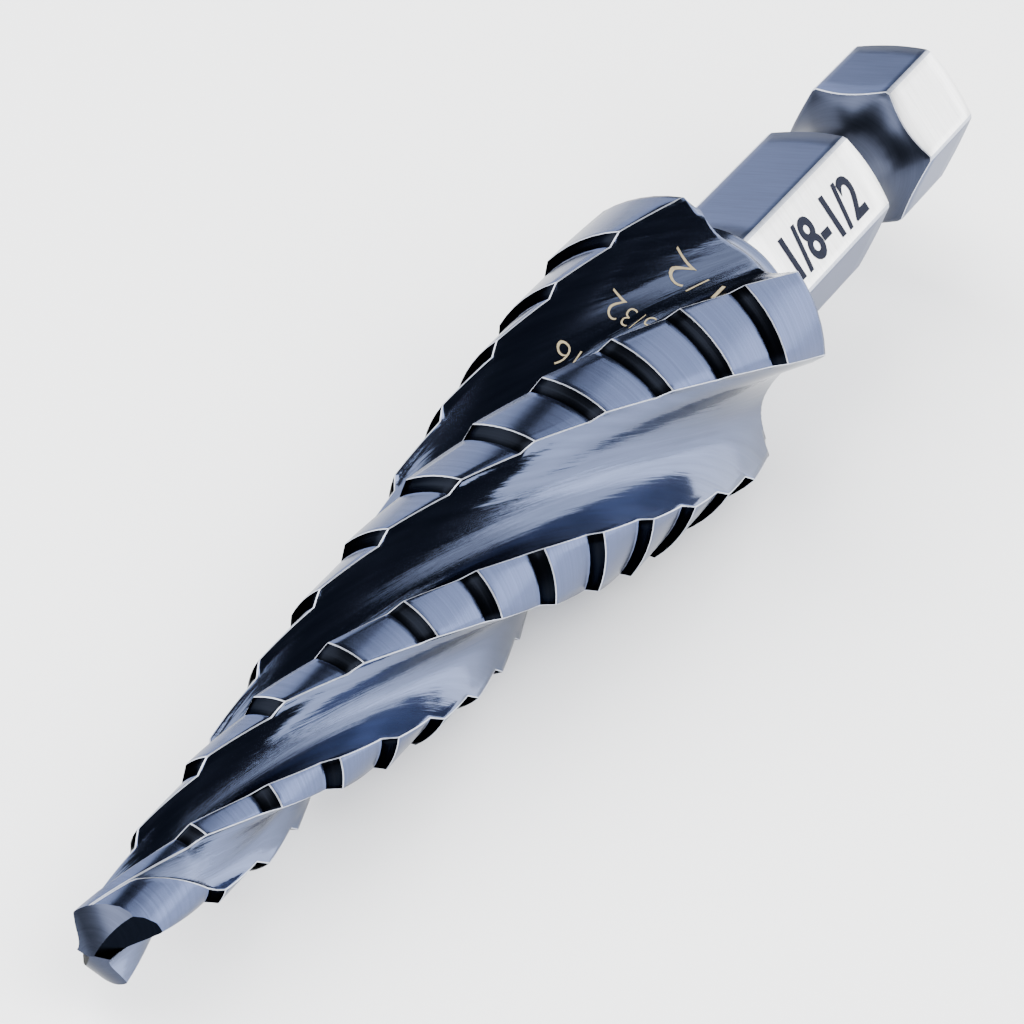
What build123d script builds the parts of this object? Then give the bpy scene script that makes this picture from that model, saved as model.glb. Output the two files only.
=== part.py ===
"""A 13-step drill: four spiral lands on a stepped cone, a two-lip split point and a 1/4 inch hexagon shank.

The drill is modelled upright, tip at the origin and shank towards +Z. At the end it is laid on its side, as
it comes to rest on a table: tip towards -X, with the middle of its box's underside at the origin.
All sizes are millimetres and all angles are degrees.
"""
from build123d import *

import os
from math import cos, degrees, log, radians, sin, tan

INCH = 25.4

# Steps
STEP_COUNT = 13
SMALLEST_DIAMETER = INCH / 8
DIAMETER_RISE = INCH / 32
FIRST_STEP_LENGTH = 6.0
STEP_LENGTH = 4.0
LAST_STEP_LENGTH = 4.6
STEP_CHAMFER_ANGLE = 30.0

# Lands and flutes: the turn of a land follows a logarithm, which holds the helix angle up the cone
LAND_COUNT = 4
HELIX_RISE = 3.56
HELIX_CORE = 0.85
LAND_WIDTH_AT_TIP = 0.60
LAND_WIDTH_AT_REAR = 3.95
FLOOR_RADIUS_AT_TIP = 0.62
FLOOR_RADIUS_AT_REAR = 4.0

# Section of a flute from the heel of one land to the cutting edge of the next: share of width, share of depth
FLUTE_SHAPE = ((0.12, 0.40), (0.28, 0.83), (0.55, 1.0), (0.78, 0.90), (0.92, 0.55))
FLUTE_SECTIONS = 16
SECTION_CROWDING = 1.3

# Short flutes, which start above the point
SHORT_FLUTE_START = 2.9
SHORT_FLUTE_OPENING = 3.4
SHORT_FLUTE_DEEPENING = 11.0
SHORT_FLUTE_FIRST_WIDTH = 0.04
SHORT_FLUTE_FIRST_DEPTH = 0.02

# Point: two conical flanks, and the gashes that split the web between them
LIP_COUNT = 2
POINT_ANGLE = 135.0
POINT_RELIEF = 12.0
FLANK_ROUND = 2.5
RELIEF_TURN = 30.0
CHISEL_EDGE = 0.2
GASH_LEAD = 40.0
GASH_SPREAD = 77.0
GASH_SLOPE = 33.0

# Rear of the stepped cone
RIM_BEVEL = 0.6
RIM_BEVEL_LENGTH = 0.4
REAR_SLOPE_LENGTH = 1.9
COLLAR_RADIUS = 3.9
COLLAR_LENGTH = 0.7
COLLAR_BEVEL = 0.45

# Hexagon shank
HEX_ACROSS_FLATS = INCH / 4
HEX_EDGE_BEVEL = 0.12
HEX_ROLL = 13.3
FRONT_HEX_LENGTH = 11.9
GROOVE_LENGTH = 5.5
GROOVE_RADIUS = 2.4
NECK_LENGTH = 1.6
REAR_HEX_LENGTH = 6.0
HEX_CHAMFER_SLOPE = 35.0
END_FACE_RADIUS = 2.6
CENTRE_HOLE_RADIUS = 1.35
CENTRE_HOLE_ANGLE = 60.0
PILOT_RADIUS = 0.5
PILOT_DEPTH = 0.8

# How the drill lies: the side that is down, and how far the shank end is tipped up
REST_ROLL = 4.06
REST_TILT = 2.76

# How far a cutter reaches past the metal that it clears, and the facets that the resting height is read from
CLEARANCE = 1.0
FACET = 0.02

# Values worked out from the sizes above
step_radius = [SMALLEST_DIAMETER / 2 + DIAMETER_RISE / 2 * i for i in range(STEP_COUNT)]
smallest_radius = step_radius[0]
largest_radius = step_radius[-1]
step_end = [FIRST_STEP_LENGTH + STEP_LENGTH * i for i in range(STEP_COUNT - 1)]
cone_end = step_end[-1] + LAST_STEP_LENGTH
step_chamfer_length = DIAMETER_RISE / 2 / tan(radians(STEP_CHAMFER_ANGLE))
rear_slope_start = cone_end + RIM_BEVEL_LENGTH
rear_slope_end = rear_slope_start + REAR_SLOPE_LENGTH
hex_start = rear_slope_end + COLLAR_LENGTH
groove_start = hex_start + FRONT_HEX_LENGTH
groove_end = groove_start + GROOVE_LENGTH
shank_end = groove_end + REAR_HEX_LENGTH
hex_corner_radius = HEX_ACROSS_FLATS / 2 / cos(radians(30))
land_spacing = 360 / LAND_COUNT


def cone_radius(z):
    """Radius of the cone through the rear corners of the steps, but no less than the first step's radius."""
    return smallest_radius + max(z - FIRST_STEP_LENGTH, 0) * DIAMETER_RISE / 2 / STEP_LENGTH


def lead_angle(z):
    """Turn of the first land's cutting edge, zero at the end of the first step."""
    radius = smallest_radius + (z - FIRST_STEP_LENGTH) * DIAMETER_RISE / 2 / STEP_LENGTH
    return degrees(HELIX_RISE * log((radius + HELIX_CORE) / (smallest_radius + HELIX_CORE)))


def cone_share(z):
    """How far up the cone a height is, from 0 at the first step to 1 at the largest radius."""
    return (cone_radius(z) - smallest_radius) / (largest_radius - smallest_radius)


def land_angle(z):
    """Angle that a land covers, from a width that grows evenly with the cone's radius."""
    width = LAND_WIDTH_AT_TIP + (LAND_WIDTH_AT_REAR - LAND_WIDTH_AT_TIP) * cone_share(z)
    return degrees(width / cone_radius(z))


def floor_radius(z):
    """Radius of the deepest line of a flute."""
    return FLOOR_RADIUS_AT_TIP + (FLOOR_RADIUS_AT_REAR - FLOOR_RADIUS_AT_TIP) * cone_share(z)


def polar(radius, angle, z=0.0):
    return Vector(radius * cos(radians(angle)), radius * sin(radians(angle)), z)


def turned(*outline):
    """Solid of revolution about the drill's axis, from lines and arcs drawn as (radius, 0, height)."""
    return revolve(make_face(Wire([edge for line in outline for edge in line.edges()])), Axis.Z)


def blank():
    """The turned blank: stepped cone, bevelled rim, hollow slope behind it and the round collar."""
    points = [(0, -CLEARANCE), (smallest_radius, -CLEARANCE)]
    for radius, next_radius, end in zip(step_radius, step_radius[1:], step_end):
        points += [(radius, end), (next_radius, end + step_chamfer_length)]
    points += [(largest_radius, cone_end), (largest_radius - RIM_BEVEL, rear_slope_start)]
    steps = Polyline(*[(radius, 0, z) for radius, z in points])
    rear_slope = TangentArc(
        (COLLAR_RADIUS, 0, rear_slope_end), steps @ 1, tangent=(0, 0, -1), tangent_from_first=True
    )
    collar = Polyline(
        rear_slope @ 0,
        (COLLAR_RADIUS, 0, hex_start - COLLAR_BEVEL),
        (COLLAR_RADIUS - 2 * COLLAR_BEVEL, 0, hex_start + COLLAR_BEVEL),
        (0, 0, hex_start + COLLAR_BEVEL),
        steps @ 0,
    )
    return turned(steps, rear_slope, collar)


def flute(index):
    """The metal that one flute's wheel takes out, as a loft of turning sections. Every other flute is short."""
    short = index % 2 == 1
    start = SHORT_FLUTE_START if short else -2 * CLEARANCE
    sections = []
    for i in range(FLUTE_SECTIONS):
        share = (i / (FLUTE_SECTIONS - 1)) ** SECTION_CROWDING
        sections.append(flute_section(index, start + (hex_start - start) * share, short))
    return loft(sections)


def flute_section(index, z, short):
    """Section of a flute: it falls from the heel of one land and stands up at the next cutting edge."""
    outer = cone_radius(z)
    depth = outer - floor_radius(z)
    heel = lead_angle(z) + land_angle(z) + (index - 1) * land_spacing
    width = land_spacing - land_angle(z)
    if short:
        run = z - SHORT_FLUTE_START
        width *= min(run / SHORT_FLUTE_OPENING + SHORT_FLUTE_FIRST_WIDTH, 1)
        depth *= min(run / SHORT_FLUTE_DEEPENING + SHORT_FLUTE_FIRST_DEPTH, 1)
    lead = heel + width
    shape = [polar(outer - down * depth, heel + across * width, z) for across, down in FLUTE_SHAPE]
    curve = Spline(polar(outer, heel, z), *shape, polar(outer, lead, z))
    clear = outer + CLEARANCE
    rake_side = Line(polar(outer, lead, z), polar(clear, lead, z))
    outside = ThreePointArc(polar(clear, lead, z), polar(clear, heel + width / 2, z), polar(clear, heel, z))
    heel_side = Line(polar(clear, heel, z), polar(outer, heel, z))
    return make_face(Wire([*curve.edges(), *rake_side.edges(), *outside.edges(), *heel_side.edges()]))


def point_cutter(lip_angle):
    """Half of the metal outside the ground point: the flank is a round that lies along the lip, tipped back."""
    reach = smallest_radius + CLEARANCE
    flank = Pos(0, 0, FLANK_ROUND) * (Rot(0, 90, 0) * Cylinder(FLANK_ROUND, 6 * reach))
    flank = Rot(0, POINT_ANGLE / 2 - 90, 0) * (Rot(POINT_RELIEF, 0, 0) * flank)
    side = Box(reach, 2 * reach, 2 * reach, align=(Align.MIN, Align.CENTER, Align.CENTER))
    side = Rot(0, 0, RELIEF_TURN) * (Pos(0, 0, -reach / 2) * side)
    return Rot(0, 0, lip_angle) * (side - flank)


def gash(lip_angle):
    """The notch that splits the point: it clears the web ahead of a lip, up to the heel of the other flank."""
    rake = lip_angle - GASH_LEAD
    heel = rake - GASH_SPREAD
    middle = polar(CHISEL_EDGE / 2, rake - GASH_SPREAD / 2)
    reach = smallest_radius + CLEARANCE
    sector = Polyline(middle, middle + polar(2 * reach, heel), middle + polar(2 * reach, rake), close=True)
    prism = Pos(0, 0, -2 * CLEARANCE) * extrude(make_face(sector), FIRST_STEP_LENGTH)
    along = polar(1, heel) + Vector(0, 0, 1 / tan(radians(POINT_ANGLE / 2)))
    up = polar(sin(radians(GASH_SLOPE)), heel + 90) + Vector(0, 0, cos(radians(GASH_SLOPE)))
    ground = Plane(origin=middle, x_dir=along, z_dir=up.cross(along))
    size = 4 * FIRST_STEP_LENGTH
    return prism & (ground * Box(size, size, size, align=(Align.CENTER, Align.CENTER, Align.MIN)))


def hexagon_bar():
    """The hexagon with its long edges broken, over the length of the shank."""
    section = RegularPolygon(HEX_ACROSS_FLATS / 2, 6, major_radius=False)
    section = chamfer(section.vertices(), HEX_EDGE_BEVEL)
    return Pos(0, 0, cone_end) * extrude(Rot(0, 0, HEX_ROLL) * section, shank_end - cone_end)


def shank_envelope():
    """What the lathe leaves of the bar: chamfered ends and the quick-change groove between them."""
    slope = tan(radians(HEX_CHAMFER_SLOPE))
    wide = hex_corner_radius + CLEARANCE
    neck_start = groove_start + slope * (hex_corner_radius - GROOVE_RADIUS)
    front = Polyline(
        (0, 0, cone_end),
        (wide, 0, cone_end),
        (wide, 0, groove_start - slope * CLEARANCE),
        (GROOVE_RADIUS, 0, neck_start),
        (GROOVE_RADIUS, 0, neck_start + NECK_LENGTH),
    )
    flare = TangentArc(front @ 1, (hex_corner_radius, 0, groove_end), tangent=(0, 0, 1))
    back = Polyline(
        flare @ 1,
        (wide, 0, groove_end),
        (wide, 0, shank_end - slope * (wide - END_FACE_RADIUS)),
        (END_FACE_RADIUS, 0, shank_end),
        (0, 0, shank_end),
        (0, 0, cone_end),
    )
    return turned(front, flare, back)


def centre_hole():
    """Centre-drilled hole in the shank's end face: a cone and a short pilot."""
    mouth_depth = (CENTRE_HOLE_RADIUS - PILOT_RADIUS) / tan(radians(CENTRE_HOLE_ANGLE / 2))
    points = [
        (0, 0, shank_end),
        (CENTRE_HOLE_RADIUS, 0, shank_end),
        (PILOT_RADIUS, 0, shank_end - mouth_depth),
        (PILOT_RADIUS, 0, shank_end - mouth_depth - PILOT_DEPTH),
        (0, 0, shank_end - mouth_depth - PILOT_DEPTH),
    ]
    return turned(Polyline(*points, close=True))


def drill():
    """The finished drill, upright."""
    body = blank() + (hexagon_bar() & shank_envelope()) - centre_hole()
    for index in range(LAND_COUNT):
        body -= flute(index)
    lip_height = smallest_radius / tan(radians(POINT_ANGLE / 2))
    for index in range(LIP_COUNT):
        lip = lead_angle(lip_height) + index * 360 / LIP_COUNT
        body -= point_cutter(lip)
        body -= gash(lip)
    return body


def laid_down(body):
    """The drill on its side, with its box's underside on the table and the middle of it at the origin."""
    lying = Rot(0, 90 - REST_TILT, 0) * (Rot(0, 0, -REST_ROLL) * body)
    corners = lying.tessellate(FACET)[0]
    low = Vector(*[min(getattr(corner, axis) for corner in corners) for axis in "XYZ"])
    high = Vector(*[max(getattr(corner, axis) for corner in corners) for axis in "XYZ"])
    return Pos(-(low.X + high.X) / 2, -(low.Y + high.Y) / 2, -low.Z) * lying


os.makedirs("parts", exist_ok=True)
step_drill = laid_down(drill())
export_step(step_drill, "parts/step_drill.step")
print("solids", len(step_drill.solids()), "volume", round(step_drill.volume, 1), "length", round(shank_end, 2))
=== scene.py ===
"""Looks of the 13-step drill: one finely meshed piece that stands in for the CAD solid, and its numerals.

The drill's form is worked out upright, in millimetres, with its tip at the origin and its shank towards +Z.
A single matrix then lays it on its side and brings it to metres, where the CAD solid lies.
"""

from math import atan2, cos, degrees, e, hypot, log, pi, radians, sin, sqrt, tan

import bmesh
import bpy
import numpy as np
from mathutils import Matrix, Vector


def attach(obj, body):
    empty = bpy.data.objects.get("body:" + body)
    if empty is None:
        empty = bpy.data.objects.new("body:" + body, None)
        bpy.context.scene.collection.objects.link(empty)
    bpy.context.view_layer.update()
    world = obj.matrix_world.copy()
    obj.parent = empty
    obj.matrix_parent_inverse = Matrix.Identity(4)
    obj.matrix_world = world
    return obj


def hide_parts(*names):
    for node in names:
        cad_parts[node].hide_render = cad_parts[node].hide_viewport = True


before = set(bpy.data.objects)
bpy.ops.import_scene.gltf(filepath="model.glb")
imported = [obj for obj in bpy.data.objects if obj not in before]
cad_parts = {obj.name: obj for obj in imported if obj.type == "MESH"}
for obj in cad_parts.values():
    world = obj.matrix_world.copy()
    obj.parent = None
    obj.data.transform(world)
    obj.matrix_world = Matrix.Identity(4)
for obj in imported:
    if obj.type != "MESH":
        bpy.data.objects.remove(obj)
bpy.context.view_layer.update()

MM = 0.001
INCH = 25.4

# Steps
STEP_COUNT = 13
SMALLEST_DIAMETER = INCH / 8
DIAMETER_RISE = INCH / 32
FIRST_STEP_LENGTH = 6.0
STEP_LENGTH = 4.0
LAST_STEP_LENGTH = 4.6
STEP_CHAMFER_ANGLE = 30.0

# Lands and flutes
LAND_COUNT = 4
HELIX_RISE = 3.56
HELIX_CORE = 0.85
LAND_WIDTH_AT_TIP = 0.60
LAND_WIDTH_AT_REAR = 3.95
FLOOR_RADIUS_AT_TIP = 0.62
FLOOR_RADIUS_AT_REAR = 4.0
FLUTE_SHAPE = ((0.12, 0.40), (0.28, 0.83), (0.55, 1.0), (0.78, 0.90), (0.92, 0.55))
SHORT_FLUTE_START = 2.9
SHORT_FLUTE_OPENING = 3.4
SHORT_FLUTE_DEEPENING = 11.0
SHORT_FLUTE_FIRST_WIDTH = 0.04

# Point
LIP_COUNT = 2
POINT_ANGLE = 135.0
POINT_RELIEF = 12.0
FLANK_ROUND = 2.5
RELIEF_TURN = 30.0
CHISEL_EDGE = 0.2
GASH_LEAD = 40.0
GASH_SPREAD = 77.0
GASH_SLOPE = 33.0

# Rear of the stepped cone
RIM_BEVEL = 0.6
RIM_BEVEL_LENGTH = 0.4
REAR_SLOPE_LENGTH = 1.9
COLLAR_RADIUS = 3.9
COLLAR_LENGTH = 0.7
COLLAR_BEVEL = 0.45

# Hexagon shank
HEX_ACROSS_FLATS = INCH / 4
HEX_EDGE_BEVEL = 0.12
HEX_ROLL = 13.3
FRONT_HEX_LENGTH = 11.9
GROOVE_LENGTH = 5.5
GROOVE_RADIUS = 2.4
NECK_LENGTH = 1.6
REAR_HEX_LENGTH = 6.0
HEX_CHAMFER_SLOPE = 35.0
END_FACE_RADIUS = 2.6
CENTRE_HOLE_RADIUS = 1.35
CENTRE_HOLE_ANGLE = 60.0
PILOT_RADIUS = 0.5
PILOT_DEPTH = 0.8

# How the drill lies, with its tip's place in the row's frame
REST_ROLL = 4.06
REST_TILT = 2.76
TIP_PLACE = (-40.515, 0.0, 3.490)

# Steel: how much its colour and its roughness vary
TINT_SPREAD = 0.12
ROUGHNESS_SPREAD = 0.03

# Lines that grinding and turning leave: how close they lie round the drill and along it
WHEEL_LINES_ROUND = 26.0
WHEEL_LINES_ALONG = 0.25
TURNED_LINES_ROUND = 0.5
TURNED_LINES_ALONG = 9.0
FLAT_LINES_ROUND = 1.5
FLAT_LINES_ALONG = 7.0

# Lean of the wheel's lines past the helix, in radians for each mm up the drill
WHEEL_LEAN = 0.04

# Noise: how fine it is, how rough, and the values that stand for its dark and its light
PLAIN_DETAIL = 3.0
FINE_DETAIL = 4.0
NOISE_ROUGHNESS = 0.55
NOISE_LOW = 0.3
NOISE_HIGH = 0.7

# Mesh: width of the broken edges, and spacing of the body's rows
EDGE_BREAK = 0.038
ROW_SPACING = 0.25

# Points across a land, a flute, the spline of a flute's section, a hexagon flat, and along and across a flank
LAND_POINTS = 7
FLUTE_POINTS = 30
SPLINE_POINTS = 90
FLAT_POINTS = 12
FLANK_POINTS_OUT = 30
FLANK_POINTS_ACROSS = 60

# Rows across each surface behind the cone
REAR_SLOPE_ROWS = 26
COLLAR_ROWS = 3
FRONT_FLAT_ROWS = 9
GROOVE_SLOPE_ROWS = 5
FLARE_ROWS = 10
REAR_FLAT_ROWS = 6
END_CHAMFER_ROWS = 4
END_FACE_ROWS = 5
CENTRE_HOLE_ROWS = 4

# Height of the neck's first row past the groove's front slope
NECK_START_GAP = 0.1

# A flute's point this close under the rear's own radius lies on the rear's surface
FLUSH_DEPTH = 0.1

# Cutters of the point: how far they reach past the drill and under the tip, and the overlap of the two flanks
CLEARANCE = 1.0
CUTTER_DEPTH = 3.0
FLANK_OVERLAP = 0.01

# Below this height, edges steeper than this angle are shaded as sharp
POINT_TOP = 2.8
SHARP_ANGLE = 28.0

# Values worked out from the sizes above
step_radius = [SMALLEST_DIAMETER / 2 + DIAMETER_RISE / 2 * i for i in range(STEP_COUNT)]
smallest_radius = step_radius[0]
largest_radius = step_radius[-1]
step_end = [FIRST_STEP_LENGTH + STEP_LENGTH * i for i in range(STEP_COUNT - 1)]
cone_end = step_end[-1] + LAST_STEP_LENGTH
step_chamfer_length = DIAMETER_RISE / 2 / tan(radians(STEP_CHAMFER_ANGLE))
rear_slope_start = cone_end + RIM_BEVEL_LENGTH
rear_slope_end = rear_slope_start + REAR_SLOPE_LENGTH
hex_start = rear_slope_end + COLLAR_LENGTH
groove_start = hex_start + FRONT_HEX_LENGTH
groove_end = groove_start + GROOVE_LENGTH
shank_end = groove_end + REAR_HEX_LENGTH
hex_corner_radius = HEX_ACROSS_FLATS / 2 / cos(radians(30))
land_spacing = 360 / LAND_COUNT

UPRIGHT_TO_ROW = (
    Matrix.Scale(MM, 4)
    @ Matrix.Translation(TIP_PLACE)
    @ Matrix.Rotation(radians(90 - REST_TILT), 4, "Y")
    @ Matrix.Rotation(radians(-REST_ROLL), 4, "Z")
)

# Surfaces of the drill, in the order of its material slots
LAND, CHAMFER, FLUTE, EDGE, REAR, FLAT, MARKED_FLAT, NECK, END_FACE = range(9)

# Numerals: the flat that carries the size range, the letters' height and width, and where they start
MARKED_SIDE = 3
RANGE_TEXT = "1/8-1/2"
RANGE_START = 59.75
RANGE_BASELINE = 1.2
RANGE_HEIGHT = 2.0
RANGE_PITCH = 1.15
RANGE_BOLDNESS = 0.026

# Step sizes etched in a flute: text, height up the drill, angle back from the cutting edge, and the letters'
# height and pitch
STEP_TEXTS = (
    ("1/2", 52.95, 12.0, 1.55, 0.75),
    ("15/32", 48.70, 12.0, 1.35, 0.43),
    ("7/16", 44.80, 17.0, 1.45, 0.42),
)
STEP_BOLDNESS = -0.020
ETCHED_FLUTE = 0

# Numerals' mesh: how far it stands off the steel, how smooth its curves are, and how finely it is cut
LETTER_LIFT = 0.015
LETTER_SMOOTHNESS = 4
LETTER_GRID = 0.12
LETTER_CUTS = 3

# Numerals' colours, and their speckle: its fineness, shades, roughness and gloss, and its bump's depth in mm
INK_COLOUR = (0.009, 0.011, 0.022)
ETCHING_COLOUR = (0.25, 0.21, 0.13)
SPECKLE_SCALE = 6000.0
SPECKLE_SHADES = (0.8, 1.15)
SPECKLE_ROUGHNESS = (0.45, 0.65)
SPECKLE_GLOSS = 0.03
SPECKLE_BUMP = 0.5
SPECKLE_RELIEF = 0.002

# Camera: its place, the point it looks at and its upward direction, in the drill's upright frame
CAMERA_PLACE = (-119.322, -64.030, -150.526)
CAMERA_TARGET = (-0.5035, -0.1365, 35.7528)
CAMERA_UP = (-0.84286, 0.33147, 0.42393)
CAMERA_LENS = 202.56
SENSOR_WIDTH = 36.0
NEAREST_SEEN = 0.005
FARTHEST_SEEN = 20.0

# Studio lamps: their distance in metres and watts for each square metre. Then for each lamp its name, turn
# and rise as seen from the drill, how wide and how high it looks in degrees, and its brightness
LAMP_DISTANCE = 1.5
LAMP_POWER = 4.0
LAMPS = (
    ("far_window", -21.0, 9.5, 64.0, 19.0, 4.4),
    ("far_window_above", -18.0, 29.0, 54.0, 20.0, 2.6),
    ("far_window_top", -21.0, 46.0, 30.0, 14.0, 1.2),
    ("side_window", 54.0, 20.0, 50.0, 38.0, 2.3),
    ("near_lamp", 212.0, 46.0, 70.0, 62.0, 6.2),
    ("left_lamp", 118.0, 48.0, 60.0, 56.0, 6.0),
)

# The room: the floor's half width in metres, its two shades, how small its clouds are, and the dim walls
FLOOR_REACH = 3.0
FLOOR_DARK = (0.955, 0.96, 0.965)
FLOOR_LIGHT = (0.965, 0.97, 0.975)
FLOOR_CLOUDS = 3.0
FLOOR_ROUGHNESS = 0.9
ROOM_COLOUR = (0.04, 0.045, 0.055)


def cone_radius(z):
    """Radius of the cone through the rear corners of the steps, but no less than the first step's radius."""
    return smallest_radius + max(z - FIRST_STEP_LENGTH, 0) * DIAMETER_RISE / 2 / STEP_LENGTH


def lead_angle(z):
    """Turn of the first land's cutting edge, zero at the end of the first step."""
    radius = smallest_radius + (z - FIRST_STEP_LENGTH) * DIAMETER_RISE / 2 / STEP_LENGTH
    return degrees(HELIX_RISE * log((radius + HELIX_CORE) / (smallest_radius + HELIX_CORE)))


def cone_share(z):
    """How far up the cone a height is, from 0 at the first step to 1 at the largest radius."""
    return (cone_radius(z) - smallest_radius) / (largest_radius - smallest_radius)


def land_angle(z):
    """Angle that a land covers, from a width that grows evenly with the cone's radius."""
    width = LAND_WIDTH_AT_TIP + (LAND_WIDTH_AT_REAR - LAND_WIDTH_AT_TIP) * cone_share(z)
    return degrees(width / cone_radius(z))


def floor_radius(z):
    """Radius of the deepest line of a flute."""
    return FLOOR_RADIUS_AT_TIP + (FLOOR_RADIUS_AT_REAR - FLOOR_RADIUS_AT_TIP) * cone_share(z)


def opening(index, z):
    """How far flute index has opened at a height, and how far it has deepened, as shares."""
    if index % 2 == 0:
        return 1.0, 1.0
    run = max(z - SHORT_FLUTE_START, 0)
    width_share = min(run / SHORT_FLUTE_OPENING + SHORT_FLUTE_FIRST_WIDTH, 1)
    depth_share = min(run / SHORT_FLUTE_DEEPENING, 1)
    return width_share, depth_share


def smooth_curve(points, count):
    """Natural cubic spline through points, by the length of its chords, sampled at count places."""
    points = np.array(points)
    knots = np.concatenate([[0], np.cumsum(np.linalg.norm(np.diff(points, axis=0), axis=1))])
    step = np.diff(knots)
    inner = len(points) - 2
    system = np.zeros((inner, inner))
    for i in range(inner):
        system[i, i] = 2 * (step[i] + step[i + 1])
        if i:
            system[i, i - 1] = step[i]
        if i < inner - 1:
            system[i, i + 1] = step[i + 1]
    slopes = np.diff(points, axis=0) / step[:, None]
    bend = np.zeros_like(points)
    bend[1:-1] = np.linalg.solve(system, 6 * np.diff(slopes, axis=0))
    places = np.linspace(0, knots[-1], count)
    span = np.clip(np.searchsorted(knots, places) - 1, 0, inner)
    after = (places - knots[span])[:, None]
    before = (knots[span + 1] - places)[:, None]
    width = step[span][:, None]
    return (
        (bend[span] * before ** 3 + bend[span + 1] * after ** 3) / (6 * width)
        + (points[span] / width - bend[span] * width / 6) * before
        + (points[span + 1] / width - bend[span + 1] * width / 6) * after
    )


def flute_path(index, z, outside=0):
    """Section of flute index from the heel of one land to the next cutting edge, as XY points.

    Where outside is a radius beyond the cone's, the section goes straight out to it at both ends."""
    outer = cone_radius(z)
    width_share, depth_share = opening(index, z)
    depth = (outer - floor_radius(z)) * depth_share
    heel = lead_angle(z) + land_angle(z) + (index - 1) * land_spacing
    width = (land_spacing - land_angle(z)) * width_share
    polar = [(outer, heel)]
    polar += [(outer - down * depth, heel + across * width) for across, down in FLUTE_SHAPE]
    polar += [(outer, heel + width)]
    curve = smooth_curve([(r * cos(radians(a)), r * sin(radians(a))) for r, a in polar], SPLINE_POINTS)
    if outside > outer:
        ends = [(outside * cos(radians(a)), outside * sin(radians(a))) for a in (heel, heel + width)]
        curve = np.vstack([ends[:1], curve, ends[1:]])
    return curve


def resampled(path, margin, count):
    """Points spaced evenly along a path, starting and ending a margin short of its ends."""
    run = np.concatenate([[0], np.cumsum(np.linalg.norm(np.diff(path, axis=0), axis=1))])
    margin = min(margin, run[-1] / 3)
    places = np.linspace(margin, run[-1] - margin, count)
    return np.column_stack([np.interp(places, run, path[:, axis]) for axis in (0, 1)])


def section(z, radius):
    """One row of the fluted body's points, in order round the drill: each land, then the flute ahead."""
    row = []
    for land in range(LAND_COUNT):
        share = opening(land, z)[0]
        heel_before = lead_angle(z) + land_angle(z) + (land - 1) * land_spacing
        lead = heel_before + (land_spacing - land_angle(z)) * share
        heel = lead_angle(z) + land_angle(z) + land * land_spacing
        edge = degrees(EDGE_BREAK / radius)
        for angle in np.linspace(lead + edge, heel - edge, LAND_POINTS):
            row.append((radius * cos(radians(angle)), radius * sin(radians(angle)), z))
        for x, y in resampled(flute_path(land + 1, z, radius), EDGE_BREAK, FLUTE_POINTS):
            inward = min(1, radius / hypot(x, y))
            row.append((x * inward, y * inward, z))
    return row


def body_rows():
    """Heights and radii of the fluted body's rows, each with the surface that starts there."""
    rows = [(z, smallest_radius, LAND) for z in np.arange(-CLEARANCE, FIRST_STEP_LENGTH, ROW_SPACING)]
    chamfer_tilt = radians(STEP_CHAMFER_ANGLE)
    along_chamfer = EDGE_BREAK * cos(chamfer_tilt)
    down_chamfer = EDGE_BREAK * sin(chamfer_tilt)
    for end, radius, next_radius in zip(step_end, step_radius, step_radius[1:]):
        corner = end + step_chamfer_length
        step_stop = end + STEP_LENGTH if next_radius < largest_radius else cone_end
        rows.append((end, radius, CHAMFER))
        rows.append((end + step_chamfer_length / 2, (radius + next_radius) / 2, CHAMFER))
        rows.append((corner - along_chamfer, next_radius - down_chamfer, EDGE))
        count = int((step_stop - corner) / ROW_SPACING)
        rows += [(z, next_radius, LAND) for z in np.linspace(corner + EDGE_BREAK, step_stop, count)[:-1]]
    rim_tilt = atan2(RIM_BEVEL, RIM_BEVEL_LENGTH)
    along_rim = EDGE_BREAK * cos(rim_tilt)
    down_rim = EDGE_BREAK * sin(rim_tilt)
    rows.append((cone_end - EDGE_BREAK, largest_radius, EDGE))
    rows.append((cone_end + along_rim, largest_radius - down_rim, REAR))
    rows += [(z, radius, REAR) for z, radius in rear_slope()]
    collar_stop = hex_start - COLLAR_BEVEL
    rows += [(z, COLLAR_RADIUS, REAR) for z in np.linspace(rear_slope_end, collar_stop, COLLAR_ROWS)[1:]]
    return rows


def rear_slope():
    """The hollow slope from the rim's bevel down to the collar: an arc that runs out along the collar."""
    rise = largest_radius - RIM_BEVEL - COLLAR_RADIUS
    hollow = (rise ** 2 + REAR_SLOPE_LENGTH ** 2) / (2 * rise)
    sweep = atan2(REAR_SLOPE_LENGTH, hollow - rise)
    arc = []
    for turn in np.linspace(sweep, 0, REAR_SLOPE_ROWS):
        arc.append((rear_slope_end - hollow * sin(turn), COLLAR_RADIUS + hollow - hollow * cos(turn)))
    return arc


def side_turn(side):
    """Turn of one of the hexagon's flats round the axis, in radians."""
    return radians(HEX_ROLL + 30 + 60 * side)


def hexagon_points():
    """The shank's section: points along six flats and across six broken corners, each with its surface."""
    points = []
    half_flat = HEX_ACROSS_FLATS / 2 * tan(radians(30)) - HEX_EDGE_BEVEL
    for side in range(6):
        turn = side_turn(side)
        for along in np.linspace(-half_flat, half_flat, FLAT_POINTS):
            x, y = HEX_ACROSS_FLATS / 2, along
            surface = EDGE if along == half_flat else MARKED_FLAT if side == MARKED_SIDE else FLAT
            points.append((x * cos(turn) - y * sin(turn), x * sin(turn) + y * cos(turn), surface))
    return points


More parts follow.
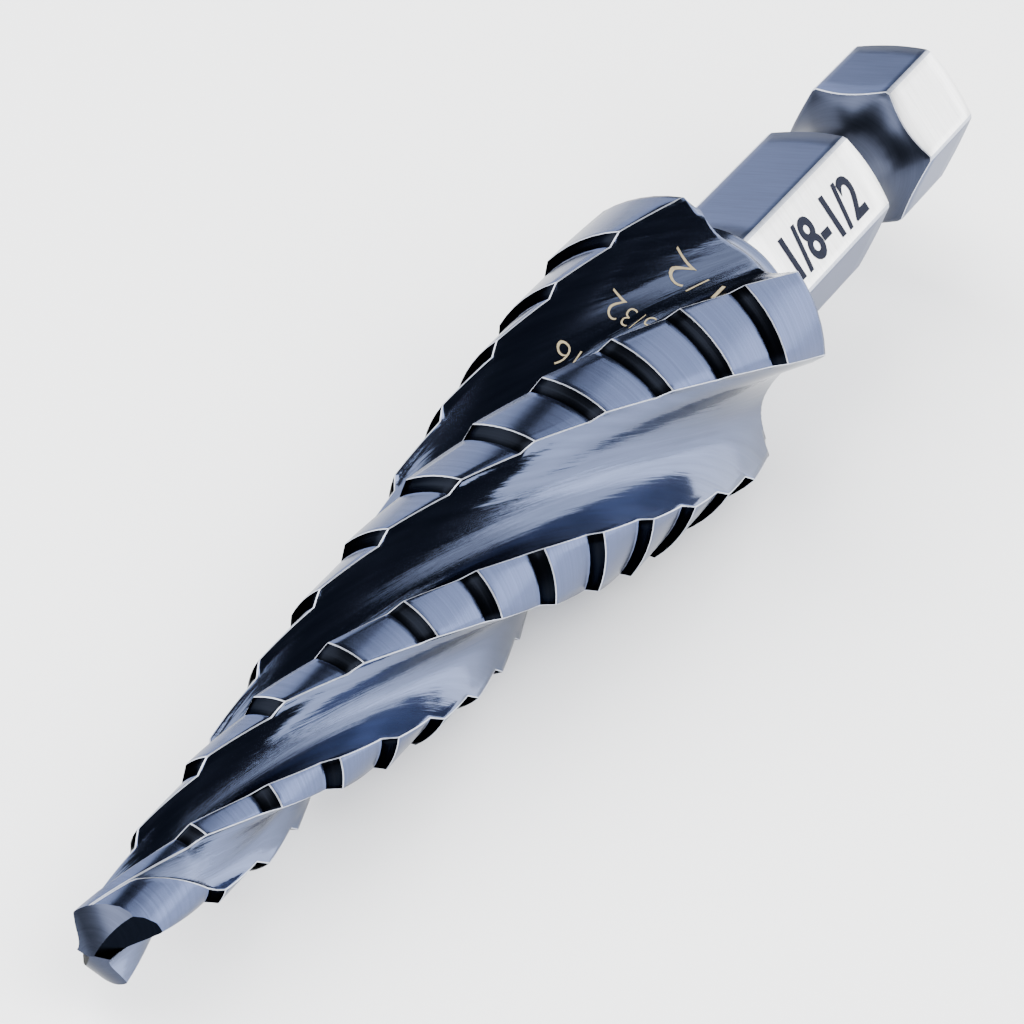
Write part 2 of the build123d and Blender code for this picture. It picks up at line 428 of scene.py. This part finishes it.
def shank_rows(points):
    """Rows of the shank from the collar to the centre hole, each with the surface that starts there.

    A row holds a height and a radius for each point of the hexagon's section."""
    far = np.array([hypot(x, y) for x, y, _ in points])
    level = np.ones_like(far)
    slope = tan(radians(HEX_CHAMFER_SLOPE))
    rise = hex_corner_radius - GROOVE_RADIUS
    neck_start = groove_start + slope * rise
    neck_end = neck_start + NECK_LENGTH
    flare = (rise ** 2 + (groove_end - neck_end) ** 2) / (2 * rise)
    collar_stop = hex_start - COLLAR_BEVEL
    front = collar_stop + COLLAR_RADIUS - far
    front_stop = groove_start + slope * (hex_corner_radius - far)
    back = neck_end + np.sqrt(flare ** 2 - (GROOVE_RADIUS + flare - far) ** 2)
    back_stop = shank_end - slope * (far - END_FACE_RADIUS)
    rows = []

    def cover(surface, places):
        """Rows across one surface. The last of them starts the broken edge to the next surface."""
        rows.extend((z, radius, surface) for z, radius in places[:-1])
        rows.append((*places[-1], EDGE))

    def flats(start, stop, count):
        """Rows along the flats, between the broken edges at their two ends."""
        run = stop - start - 2 * EDGE_BREAK
        return [(start + EDGE_BREAK + run * share, far) for share in np.linspace(0, 1, count)]

    cover(REAR, [(level * collar_stop, level * COLLAR_RADIUS), (front - EDGE_BREAK, far + EDGE_BREAK)])
    cover(FLAT, flats(front, front_stop, FRONT_FLAT_ROWS))

    neck = []
    for share in np.linspace(0, 1, GROOVE_SLOPE_ROWS):
        radius = far - EDGE_BREAK + (GROOVE_RADIUS - far + EDGE_BREAK) * share
        neck.append((groove_start + slope * (hex_corner_radius - radius), radius))
    neck += [(level * z, level * GROOVE_RADIUS) for z in (neck_start + NECK_START_GAP, neck_end)]
    for share in np.linspace(0, 1, FLARE_ROWS + 1)[1:]:
        z = neck_end + (back - EDGE_BREAK - neck_end) * share
        neck.append((z, GROOVE_RADIUS + flare - np.sqrt(flare ** 2 - (z - neck_end) ** 2)))
    cover(NECK, neck)
    cover(FLAT, flats(back, back_stop, REAR_FLAT_ROWS))

    end_chamfer = []
    for share in np.linspace(0, 1, END_CHAMFER_ROWS):
        radius = far - EDGE_BREAK + (END_FACE_RADIUS - far + 2 * EDGE_BREAK) * share
        end_chamfer.append((shank_end - slope * (radius - END_FACE_RADIUS), radius))
    cover(END_FACE, end_chamfer)

    ring_start = END_FACE_RADIUS - EDGE_BREAK
    ring_stop = CENTRE_HOLE_RADIUS + EDGE_BREAK
    ring_radii = np.linspace(ring_start, ring_stop, END_FACE_ROWS)
    cover(END_FACE, [(level * shank_end, level * radius) for radius in ring_radii])

    hole_slope = 1 / tan(radians(CENTRE_HOLE_ANGLE / 2))
    for radius in np.linspace(CENTRE_HOLE_RADIUS - EDGE_BREAK / 2, PILOT_RADIUS, CENTRE_HOLE_ROWS):
        z = shank_end - hole_slope * (CENTRE_HOLE_RADIUS - radius)
        rows.append((level * z, level * radius, END_FACE))
    hole_end = shank_end - hole_slope * (CENTRE_HOLE_RADIUS - PILOT_RADIUS) - PILOT_DEPTH
    rows.append((level * hole_end, level * PILOT_RADIUS, END_FACE))
    return rows


def strip(mesh, lower, upper, slots):
    """Quads between two rings of as many points. slots gives each quad's material slot, round the ring."""
    count = len(lower)
    for i in range(count):
        following = (i + 1) % count
        face = mesh.faces.new([lower[i], lower[following], upper[following], upper[i]])
        face.material_index = slots[i]
        face.smooth = True


def zipped(mesh, lower, upper, slot):
    """Triangles between two rings with different counts of points, which both go once round the drill."""

    def turns(ring):
        angles = [atan2(vertex.co.y, vertex.co.x) for vertex in ring]
        first = min(range(len(ring)), key=lambda i: angles[i])
        order = ring[first:] + ring[:first]
        return order, sorted(angles)

    low, low_turns = turns(lower)
    high, high_turns = turns(upper)
    low_turns.append(low_turns[0] + 2 * pi)
    high_turns.append(high_turns[0] + 2 * pi)
    i = j = 0
    while i < len(low) or j < len(high):
        here = (low[i % len(low)], high[j % len(high)])
        if j == len(high) or (i < len(low) and low_turns[i + 1] <= high_turns[j + 1]):
            corner = low[(i + 1) % len(low)]
            i += 1
        else:
            corner = high[(j + 1) % len(high)]
            j += 1
        face = mesh.faces.new([here[0], corner, here[1]])
        face.material_index = slot
        face.smooth = True


def slots_round_the_body(surface, ring, radius):
    """Slot of each quad round one strip of the fluted body, whose lands and rear carry the given surface."""
    side = REAR if surface == REAR else EDGE
    one_land = [surface] * (LAND_POINTS - 1) + [side]
    one_flute = [FLUTE] * (FLUTE_POINTS - 1) + [side]
    slots = (one_land + one_flute) * LAND_COUNT
    if surface == REAR:
        flush = [radius - hypot(x, y) < FLUSH_DEPTH for x, y, _ in ring]
        for i in range(len(ring)):
            if flush[i] and flush[(i + 1) % len(ring)]:
                slots[i] = REAR
    return slots


def drill_mesh():
    """The whole drill but for the ground point: fluted body, collar, shank and centre hole, as one skin."""
    mesh = bmesh.new()
    rows = body_rows()
    rings = [section(z, radius) for z, radius, _ in rows]
    made = [[mesh.verts.new(point) for point in ring] for ring in rings]
    for i, (_, radius, surface) in enumerate(rows[:-1]):
        strip(mesh, made[i], made[i + 1], slots_round_the_body(surface, rings[i], radius))
    bottom = mesh.faces.new(made[0][::-1])
    bottom.material_index = FLUTE
    hexagon = hexagon_points()
    turns = [atan2(y, x) for x, y, _ in hexagon]
    previous = None
    for heights, radii, surface in shank_rows(hexagon):
        ring = [
            mesh.verts.new((radius * cos(turn), radius * sin(turn), z))
            for turn, radius, z in zip(turns, radii, heights)
        ]
        if previous:
            slots = [side if previous_surface == FLAT else previous_surface for _, _, side in hexagon]
            strip(mesh, previous, ring, slots)
        else:
            zipped(mesh, made[-1], ring, REAR)
        previous, previous_surface = ring, surface
    mesh.faces.new(previous).material_index = END_FACE
    return mesh


def point_cutter(lip_angle):
    """Half of the metal outside the ground point, whose top is the round flank that lies along one lip."""
    reach = smallest_radius + CLEARANCE
    slope = Matrix.Rotation(radians(POINT_ANGLE / 2 - 90), 3, "Y")
    relief = Matrix.Rotation(radians(POINT_RELIEF), 3, "X")
    centre = slope @ relief @ Vector((0, 0, FLANK_ROUND))
    axis = slope @ relief @ Vector((1, 0, 0))
    relief_turn = Matrix.Rotation(radians(RELIEF_TURN), 3, "Z")
    lip_turn = Matrix.Rotation(radians(lip_angle), 3, "Z")

    def flank_height(x, y):
        """Height of the lower side of the flank's cylinder at x and y."""
        offset = Vector((x, y, 0)) - centre
        rise = Vector((0, 0, 1)) - axis * axis.z
        level = offset - axis * offset.dot(axis)
        a = rise.dot(rise)
        b = 2 * level.dot(rise)
        c = level.dot(level) - FLANK_ROUND ** 2
        return (-b - sqrt(max(b * b - 4 * a * c, 0))) / (2 * a)

    def top(x, y):
        plan = relief_turn @ Vector((x, y, 0))
        return lip_turn @ Vector((plan.x, plan.y, flank_height(plan.x, plan.y)))

    out = np.linspace(-FLANK_OVERLAP, reach, FLANK_POINTS_OUT)
    across = np.linspace(-reach, reach, FLANK_POINTS_ACROSS)
    # The flanks take the neck's slot, and with it that slot's painted shade.
    return height_block(top, out, across, NECK)


def height_block(top, xs, ys, slot):
    """A block whose top is given by a function of x and y, and whose flat bottom lies under the point."""
    mesh = bmesh.new()
    upper = [[mesh.verts.new(top(x, y)) for y in ys] for x in xs]
    lower = [[mesh.verts.new((v.co.x, v.co.y, -CUTTER_DEPTH)) for v in line] for line in upper]
    for i in range(len(xs) - 1):
        for j in range(len(ys) - 1):
            mesh.faces.new([upper[i][j], upper[i + 1][j], upper[i + 1][j + 1], upper[i][j + 1]])
            mesh.faces.new([lower[i][j + 1], lower[i + 1][j + 1], lower[i + 1][j], lower[i][j]])
    for i in range(len(xs) - 1):
        mesh.faces.new([upper[i + 1][0], upper[i][0], lower[i][0], lower[i + 1][0]])
        mesh.faces.new([upper[i][-1], upper[i + 1][-1], lower[i + 1][-1], lower[i][-1]])
    for j in range(len(ys) - 1):
        mesh.faces.new([upper[0][j], upper[0][j + 1], lower[0][j + 1], lower[0][j]])
        mesh.faces.new([upper[-1][j + 1], upper[-1][j], lower[-1][j], lower[-1][j + 1]])
    for face in mesh.faces:
        face.material_index = slot
        face.smooth = True
    return mesh


def gash_cutter(lip_angle):
    """The wedge that the gash clears: it covers the sector ahead of a lip, up to the other flank's heel."""
    rake = radians(lip_angle - GASH_LEAD)
    heel = rake - radians(GASH_SPREAD)
    middle = (rake + heel) / 2
    start = Vector((CHISEL_EDGE / 2 * cos(middle), CHISEL_EDGE / 2 * sin(middle), 0))
    reach = 2 * (smallest_radius + CLEARANCE)
    heel_rise = 1 / tan(radians(POINT_ANGLE / 2))
    wall_rise = 1 / tan(radians(GASH_SLOPE))
    plan = [start]
    plan += [start + Vector((reach * cos(turn), reach * sin(turn), 0)) for turn in (heel, rake)]

    def wall_height(point):
        """Height of the gash's wall, which rises along the heel and away from it."""
        out = point - start
        along = out.x * cos(heel) + out.y * sin(heel)
        aside = out.y * cos(heel) - out.x * sin(heel)
        return along * heel_rise + aside * wall_rise

    mesh = bmesh.new()
    upper = [mesh.verts.new((p.x, p.y, wall_height(p))) for p in plan]
    lower = [mesh.verts.new((p.x, p.y, -CUTTER_DEPTH)) for p in plan]
    mesh.faces.new(upper)
    mesh.faces.new(lower[::-1])
    for i in range(3):
        following = (i + 1) % 3
        mesh.faces.new([upper[following], upper[i], lower[i], lower[following]])
    # The gash's faces take the chamfers' slot, and with it that slot's painted dark reflection.
    for face in mesh.faces:
        face.material_index = CHAMFER
    return mesh


def piece(name, mesh, materials):
    """A Blender object from a bmesh, with its material slots."""
    data = bpy.data.meshes.new(name)
    mesh.to_mesh(data)
    mesh.free()
    for material in materials:
        data.materials.append(material)
    made = bpy.data.objects.new(name, data)
    bpy.context.scene.collection.objects.link(made)
    return made


def cut(target, cutter_mesh, materials):
    """Takes a cutter out of the target for good. The cut faces keep the cutter's slots."""
    cutter = piece("cutter", cutter_mesh, materials)
    boolean = target.modifiers.new("cut", "BOOLEAN")
    boolean.operation = "DIFFERENCE"
    boolean.solver = "EXACT"
    boolean.object = cutter
    evaluated = target.evaluated_get(bpy.context.evaluated_depsgraph_get())
    result = bpy.data.meshes.new_from_object(evaluated)
    target.modifiers.clear()
    target.data = result
    bpy.data.objects.remove(cutter)


def sharpen_the_point(target):
    """Marks the edges between the point's ground faces as sharp, so that light breaks at them."""
    mesh = bmesh.new()
    mesh.from_mesh(target.data)
    for edge in mesh.edges:
        low = max(vertex.co.z for vertex in edge.verts) < POINT_TOP
        if low and edge.is_manifold and edge.calc_face_angle() > radians(SHARP_ANGLE):
            edge.smooth = False
    mesh.to_mesh(target.data)
    mesh.free()


class Nodes:
    """Short names for the node calls that the materials share."""

    def __init__(self, tree):
        self.tree = tree

    def add(self, kind, inputs=(), **settings):
        made = self.tree.nodes.new(kind)
        for name, value in settings.items():
            setattr(made, name, value)
        for slot, value in dict(inputs).items():
            if isinstance(value, bpy.types.NodeSocket):
                self.tree.links.new(value, made.inputs[slot])
            else:
                made.inputs[slot].default_value = value
        return made

    def math(self, operation, first, second=0.0):
        return self.add("ShaderNodeMath", {0: first, 1: second}, operation=operation).outputs[0]

    def ramp(self, value, stops):
        made = self.add("ShaderNodeValToRGB", {0: value})
        elements = made.color_ramp.elements
        while len(elements) < len(stops):
            elements.new(1.0)
        for element, (place, colour) in zip(elements, stops):
            element.position = place
            element.color = (*colour, 1.0)
        return made.outputs[0]

    def dot(self, vector, axis):
        made = self.add("ShaderNodeVectorMath", {0: vector, 1: tuple(axis)}, operation="DOT_PRODUCT")
        return made.outputs["Value"]

    def spread(self, value, lowest, highest):
        """A value from 0 to 1, brought to the range from lowest to highest."""
        made = self.add("ShaderNodeMapRange", {"Value": value, "To Min": lowest, "To Max": highest})
        return made.outputs[0]

    def bump(self, height, strength, distance):
        inputs = {"Height": height, "Strength": strength, "Distance": distance}
        return self.add("ShaderNodeBump", inputs).outputs[0]

    def lines(self, angle, round_scale, along, along_scale, detail):
        """Noise that closes on itself round the axis, drawn out into lines by its two scales."""
        cosine = self.math("MULTIPLY", self.math("COSINE", angle), round_scale)
        sine = self.math("MULTIPLY", self.math("SINE", angle), round_scale)
        run = self.math("MULTIPLY", along, along_scale)
        place = self.add("ShaderNodeCombineXYZ", {0: cosine, 1: sine, 2: run}).outputs[0]
        return self.noise(place, 1.0, detail)

    def noise(self, vector, scale, detail):
        inputs = {"Vector": vector, "Scale": scale, "Detail": detail, "Roughness": NOISE_ROUGHNESS}
        return self.add("ShaderNodeTexNoise", inputs).outputs["Fac"]


def drill_coordinates():
    """Node group that places a point on the drill: height, radius, turn, and turn away from the helix."""
    group = bpy.data.node_groups.new("drill_coordinates", "ShaderNodeTree")
    nodes = Nodes(group)
    point = nodes.add("ShaderNodeTexCoord").outputs["Object"]
    tip = tuple(value * MM for value in TIP_PLACE)
    from_tip = nodes.add("ShaderNodeVectorMath", {0: point, 1: tip}, operation="SUBTRACT").outputs[0]
    upright = UPRIGHT_TO_ROW.to_3x3().normalized()
    x, y, z = [nodes.dot(from_tip, upright.col[column] / MM) for column in range(3)]
    turn = nodes.math("ARCTAN2", y, x)
    square = nodes.math("ADD", nodes.math("MULTIPLY", x, x), nodes.math("MULTIPLY", y, y))
    radius = nodes.math("SQRT", square)
    slope = DIAMETER_RISE / 2 / STEP_LENGTH
    start = smallest_radius - FIRST_STEP_LENGTH * slope + HELIX_CORE
    grown = nodes.math("ADD", nodes.math("MULTIPLY", z, slope), start)
    helix = nodes.math("MULTIPLY", nodes.math("LOGARITHM", grown, e), HELIX_RISE)
    out = nodes.add("NodeGroupOutput")
    values = {"Height": z, "Radius": radius, "Turn": turn, "Twist": nodes.math("SUBTRACT", turn, helix)}
    for name, value in values.items():
        group.interface.new_socket(name, in_out="OUTPUT", socket_type="NodeSocketFloat")
        group.links.new(value, out.inputs[name])
    return group


def new_material(name):
    """An empty material: itself, its nodes and the inputs of its shader."""
    material = bpy.data.materials.new(name)
    material.use_nodes = True
    shader = material.node_tree.nodes["Principled BSDF"]
    return material, Nodes(material.node_tree), shader.inputs


def steel(name, colour, roughness, grain, coords, groove=0.004, rim=0.6):
    """Coated ground steel. grain gives the lines that a wheel or a lathe leaves, groove their depth in mm.

    rim is how much of its brightness the coating keeps where it is seen at a low angle."""
    material, nodes, shader = new_material(name)
    link = material.node_tree.links.new
    shader["Metallic"].default_value = 1.0
    shader["Specular Tint"].default_value = (rim, rim, rim, 1.0)
    lines = grain(nodes, nodes.add("ShaderNodeGroup", node_tree=coords).outputs)
    dark = tuple(value * (1 - TINT_SPREAD) for value in colour)
    light = tuple(value * (1 + TINT_SPREAD) for value in colour)
    link(nodes.ramp(lines, [(NOISE_LOW, dark), (NOISE_HIGH, light)]), shader["Base Color"])
    smoothest, roughest = roughness - ROUGHNESS_SPREAD, roughness + ROUGHNESS_SPREAD
    link(nodes.spread(lines, smoothest, roughest), shader["Roughness"])
    link(nodes.bump(lines, 1.0, groove * MM), shader["Normal"])
    return material


def wheel_lines(nodes, where):
    """Lines that the grinding wheel leaves along a flute, which go round a little faster than the helix."""
    lean = nodes.math("MULTIPLY", where["Height"], WHEEL_LEAN)
    angle = nodes.math("SUBTRACT", where["Twist"], lean)
    return nodes.lines(angle, WHEEL_LINES_ROUND, where["Height"], WHEEL_LINES_ALONG, FINE_DETAIL)


def turned_lines(nodes, where):
    """Rings that the lathe leaves round the axis."""
    along = nodes.math("ADD", where["Height"], where["Radius"])
    return nodes.lines(where["Turn"], TURNED_LINES_ROUND, along, TURNED_LINES_ALONG, PLAIN_DETAIL)


def flat_lines(nodes, where):
    """Fine cross lines on the hexagon's ground flats."""
    return nodes.lines(where["Turn"], FLAT_LINES_ROUND, where["Height"], FLAT_LINES_ALONG, FINE_DETAIL)


def drill_steels():
    """The drill's materials, in the order of its slots. The colours of the chamfers, broken edges, marked
    flat and neck hold painted light and shade.
    """
    coords = drill_coordinates()
    return [
        steel("land_steel", (0.082, 0.105, 0.194), 0.22, turned_lines, coords, 0.001),
        # Near-black colour and dim rim on the chamfers and the gash's faces: a painted dark reflection, far
        # darker than the lands' coated steel.
        steel("chamfer_and_gash_painted_dark_reflection", (0.005, 0.006, 0.009), 0.30, turned_lines, coords, rim=0.04),
        steel("flute_steel", (0.097, 0.120, 0.200), 0.13, wheel_lines, coords, 0.016),
        # The broken edges' strips, on the lands, flutes and hexagon corners, are coloured far paler than the
        # steel around them: a painted highlight along every edge.
        steel("edge_painted_highlight", (0.50, 0.53, 0.62), 0.45, turned_lines, coords, rim=0.9),
        steel("rear_steel", (0.096, 0.120, 0.202), 0.20, turned_lines, coords, 0.003),
        steel("flat_steel", (0.094, 0.121, 0.228), 0.32, flat_lines, coords, 0.001),
        # Near-white colour and full rim on the marked flat: a painted highlight, much paler than the other
        # flats' steel.
        steel("marked_flat_painted_highlight", (0.90, 0.905, 0.915), 0.30, flat_lines, coords, 0.001, rim=1.0),
        # Darker than the rest of the coated steel: painted shade in the groove and neck, and on the point's
        # flanks, which share this slot.
        steel("neck_and_flank_painted_shade", (0.034, 0.040, 0.063), 0.30, turned_lines, coords, 0.002, rim=0.6),
        steel("end_steel", (0.12, 0.14, 0.20), 0.28, turned_lines, coords),
    ]


def add_camera():
    """The photograph's viewpoint."""
    data = bpy.data.cameras.new("camera")
    data.sensor_width = SENSOR_WIDTH
    data.lens = CAMERA_LENS
    data.clip_start = NEAREST_SEEN
    data.clip_end = FARTHEST_SEEN
    camera = bpy.data.objects.new("camera", data)
    bpy.context.scene.collection.objects.link(camera)
    turn = UPRIGHT_TO_ROW.to_3x3().normalized()
    place = UPRIGHT_TO_ROW @ Vector(CAMERA_PLACE)
    back = (turn @ (Vector(CAMERA_PLACE) - Vector(CAMERA_TARGET))).normalized()
    up = turn @ Vector(CAMERA_UP)
    right = up.cross(back).normalized()
    up = back.cross(right)
    camera.matrix_world = Matrix.Translation(place) @ Matrix((right, up, back)).transposed().to_4x4()
    bpy.context.scene.camera = camera


def add_floor():
    """Pale plain floor, which keeps the drill's shadow."""
    mesh = bmesh.new()
    bmesh.ops.create_grid(mesh, x_segments=1, y_segments=1, size=FLOOR_REACH)
    material, nodes, shader = new_material("floor")
    shader["Roughness"].default_value = FLOOR_ROUGHNESS
    point = nodes.add("ShaderNodeTexCoord").outputs["Object"]
    cloud = nodes.noise(point, FLOOR_CLOUDS, PLAIN_DETAIL)
    tint = nodes.ramp(cloud, [(NOISE_LOW, FLOOR_DARK), (NOISE_HIGH, FLOOR_LIGHT)])
    material.node_tree.links.new(tint, shader["Base Color"])
    floor = piece("floor", mesh, [material])


def add_lamp(name, turn, rise, wide, high, brightness):
    """Soft rectangular lamp that faces the drill."""
    data = bpy.data.lights.new(name, "AREA")
    data.shape = "RECTANGLE"
    data.size = 2 * LAMP_DISTANCE * tan(radians(wide / 2))
    data.size_y = 2 * LAMP_DISTANCE * tan(radians(high / 2))
    data.energy = LAMP_POWER * brightness * data.size * data.size_y
    lamp = bpy.data.objects.new(name, data)
    level = cos(radians(rise))
    toward = Vector((level * cos(radians(turn)), level * sin(radians(turn)), sin(radians(rise))))
    lamp.location = toward * LAMP_DISTANCE
    lamp.rotation_mode = "QUATERNION"
    lamp.rotation_quaternion = toward.to_track_quat("Z", "Y")
    bpy.context.scene.collection.objects.link(lamp)


def add_world():
    """The dim room round the lamps."""
    world = bpy.data.worlds.new("studio")
    bpy.context.scene.world = world
    world.use_nodes = True
    world.node_tree.nodes["Background"].inputs["Color"].default_value = (*ROOM_COLOUR, 1.0)


def marking(name, colour):
    """Matt colour of the numerals, a little uneven as a laser or a stamp leaves it."""
    material, nodes, shader = new_material(name)
    link = material.node_tree.links.new
    shader["Specular IOR Level"].default_value = SPECKLE_GLOSS
    cloud = nodes.noise(nodes.add("ShaderNodeTexCoord").outputs["Object"], SPECKLE_SCALE, PLAIN_DETAIL)
    dark, light = [tuple(value * shade for value in colour) for shade in SPECKLE_SHADES]
    link(nodes.ramp(cloud, [(NOISE_LOW, dark), (NOISE_HIGH, light)]), shader["Base Color"])
    link(nodes.spread(cloud, *SPECKLE_ROUGHNESS), shader["Roughness"])
    link(nodes.bump(cloud, SPECKLE_BUMP, SPECKLE_RELIEF * MM), shader["Normal"])
    return material


def lettering(name, text, height, pitch, boldness, place, material):
    """Numerals as a thin mesh. place(along, up) gives the drill's surface point for a point of the text."""
    curve = bpy.data.curves.new(name, "FONT")
    curve.body = text
    curve.resolution_u = LETTER_SMOOTHNESS
    curve.offset = boldness
    flat = bpy.data.objects.new(name, curve)
    bpy.context.scene.collection.objects.link(flat)
    outline = bpy.data.meshes.new_from_object(flat.evaluated_get(bpy.context.evaluated_depsgraph_get()))
    bpy.data.objects.remove(flat)
    mesh = bmesh.new()
    mesh.from_mesh(outline)
    long_edges = [edge for edge in mesh.edges if edge.calc_length() > LETTER_GRID]
    bmesh.ops.subdivide_edges(mesh, edges=long_edges, cuts=LETTER_CUTS)
    bmesh.ops.triangulate(mesh, faces=mesh.faces)
    start = min(vertex.co.x for vertex in mesh.verts)
    stop = max(vertex.co.x for vertex in mesh.verts)
    tall = max(vertex.co.y for vertex in mesh.verts)
    across = pitch * len(text) / (stop - start)
    for vertex in mesh.verts:
        vertex.co = place((vertex.co.x - start) * across, vertex.co.y * height / tall)
    mesh.transform(UPRIGHT_TO_ROW)
    made = piece(name, mesh, [material])
    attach(made, "root")


def on_the_flat(along, up):
    """Point just above the marked flat. The text runs up the drill, with its top towards the flat before."""
    turn = side_turn(MARKED_SIDE)
    aside = RANGE_BASELINE - up
    out = HEX_ACROSS_FLATS / 2 + LETTER_LIFT
    x = out * cos(turn) - aside * sin(turn)
    y = out * sin(turn) + aside * cos(turn)
    return Vector((x, y, RANGE_START + along))


def in_the_flute(base, back):
    """Places text just above the etched flute. It runs back from the cutting edge, its top to the tip."""

    def place(along, up):
        z = base - up
        path = flute_path(ETCHED_FLUTE, z)
        turns = np.degrees(np.unwrap(np.arctan2(path[:, 1], path[:, 0])))
        turns += 360 * round((lead_angle(z) - turns[-1]) / 360)
        turn = lead_angle(base) - back - degrees(along / floor_radius(base))
        radius = np.interp(turn, turns, np.hypot(path[:, 0], path[:, 1])) + LETTER_LIFT
        return Vector((radius * cos(radians(turn)), radius * sin(radians(turn)), z))

    return place


materials = drill_steels()
skin = piece("drill_skin", drill_mesh(), materials)
lip_height = smallest_radius / tan(radians(POINT_ANGLE / 2))
for lip in range(LIP_COUNT):
    lip_angle = lead_angle(lip_height) + lip * 360 / LIP_COUNT
    cut(skin, point_cutter(lip_angle), materials)
    cut(skin, gash_cutter(lip_angle), materials)
sharpen_the_point(skin)
skin.data.transform(UPRIGHT_TO_ROW)
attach(skin, "root")
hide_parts("step_drill")

ink = marking("numeral_ink", INK_COLOUR)
etching = marking("numeral_etching", ETCHING_COLOUR)
lettering("size_range", RANGE_TEXT, RANGE_HEIGHT, RANGE_PITCH, RANGE_BOLDNESS, on_the_flat, ink)
for text, base, back, height, pitch in STEP_TEXTS:
    name = "size_" + text.replace("/", "_")
    lettering(name, text, height, pitch, STEP_BOLDNESS, in_the_flute(base, back), etching)

add_camera()
add_floor()
add_world()
for lamp in LAMPS:
    add_lamp(*lamp)
